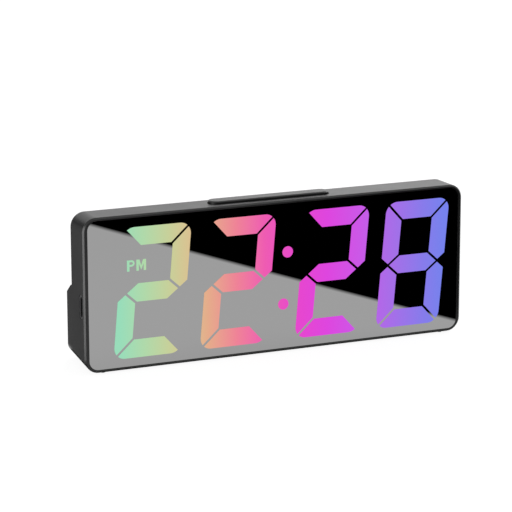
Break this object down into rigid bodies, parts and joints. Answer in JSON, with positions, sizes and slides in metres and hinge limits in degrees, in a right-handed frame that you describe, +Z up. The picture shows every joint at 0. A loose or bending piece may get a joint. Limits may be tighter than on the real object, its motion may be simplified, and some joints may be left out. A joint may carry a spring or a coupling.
{
  "type": "digital alarm clock",
  "caption": "Slim leaning alarm clock with a mirror lens over a slanted segment display, a snooze bar on top, push buttons and a battery door on the stepped back, and a side power port.",
  "frame": {"origin": "middle of the footprint, on the table under the feet", "axes": "+X to the right seen from the front, +Y towards the back, +Z up; the lens faces -Y and leans back"},
  "size_m": [0.161, 0.0238, 0.0607],
  "materials": {
    "housing_black": "fine moulded texture",
    "cover_black": "fine moulded texture",
    "lens_smoke": "smoked half mirror",
    "tape_black": "foam tape",
    "film_white": "frosted film",
    "reflector_white": "moulded",
    "segment_lit": "glowing diffuser, rainbow run across the face",
    "segment_dark": "milky diffuser, unlit",
    "board_green": "solder mask",
    "lamp_cream": "lamp body",
    "chip_black": "moulded",
    "tin_plate": "tinned",
    "sleeve_navy": "printed sleeve, plain",
    "button_black": "fine moulded texture",
    "plunger_red": "moulded",
    "plunger_white": "moulded",
    "cell_wrap": "plain wrap",
    "nickel_plate": "nickel plated",
    "screw_zinc": "zinc plated",
    "foot_rubber": "matt"
  },
  "bodies": {
    "clock": {"housing": "housing_black", "lens": "lens_smoke", "lens_tape": "tape_black", "diffuser_film": "film_white", "display_reflector": "reflector_white", "lit_segments": "segment_lit", "dark_segments": "segment_dark", "colon_dots": "segment_lit", "pm_window": "segment_lit", "main_pcb": "board_green", "led_chips": "lamp_cream", "control_chips": "chip_black", "crystal": "tin_plate", "capacitor": "sleeve_navy", "usb_socket_shell": "tin_plate", "usb_socket_tongue": "chip_black", "snooze_switch": "chip_black", "rear_cover": "cover_black", "rear_switches": "chip_black", "buzzer": "chip_black", "battery_cells": "cell_wrap", "spring_contacts": "nickel_plate", "bridge_contact": "nickel_plate", "housing_screws": "screw_zinc", "pcb_screws": "screw_zinc", "front_feet": "foot_rubber", "rear_feet": "foot_rubber"},
    "snooze": {"snooze_button": "button_black", "snooze_plunger": "plunger_red"},
    "set": {"set_button": "button_black", "set_plunger": "plunger_white"},
    "up": {"up_button": "button_black", "up_plunger": "plunger_white"},
    "down": {"down_button": "button_black", "down_plunger": "plunger_white"},
    "alarm": {"alarm_button": "button_black", "alarm_plunger": "plunger_white"},
    "door": {"battery_door": "cover_black"}
  },
  "joints": [
    {"name": "snooze_press", "type": "slide", "parent": "clock", "child": "snooze", "axis": [0, -0.1478, -0.989], "range_m": [0, 0.0006], "stiffness_N_per_m": 2500},
    {"name": "set_press", "type": "slide", "parent": "clock", "child": "set", "axis": [0, -0.989, 0.1478], "range_m": [0, 0.0005], "stiffness_N_per_m": 3000},
    {"name": "up_press", "type": "slide", "parent": "clock", "child": "up", "axis": [0, -0.989, 0.1478], "range_m": [0, 0.0005], "stiffness_N_per_m": 3000},
    {"name": "down_press", "type": "slide", "parent": "clock", "child": "down", "axis": [0, -0.989, 0.1478], "range_m": [0, 0.0005], "stiffness_N_per_m": 3000},
    {"name": "alarm_press", "type": "slide", "parent": "clock", "child": "alarm", "axis": [0, -0.989, 0.1478], "range_m": [0, 0.0005], "stiffness_N_per_m": 3000},
    {"name": "battery_door_hinge", "type": "hinge", "parent": "clock", "child": "door", "pos_m": [0.01185, 0.01044, 0.01515], "axis": [0, 0.1478, 0.989], "range_deg": [0, 45]}
  ]
}
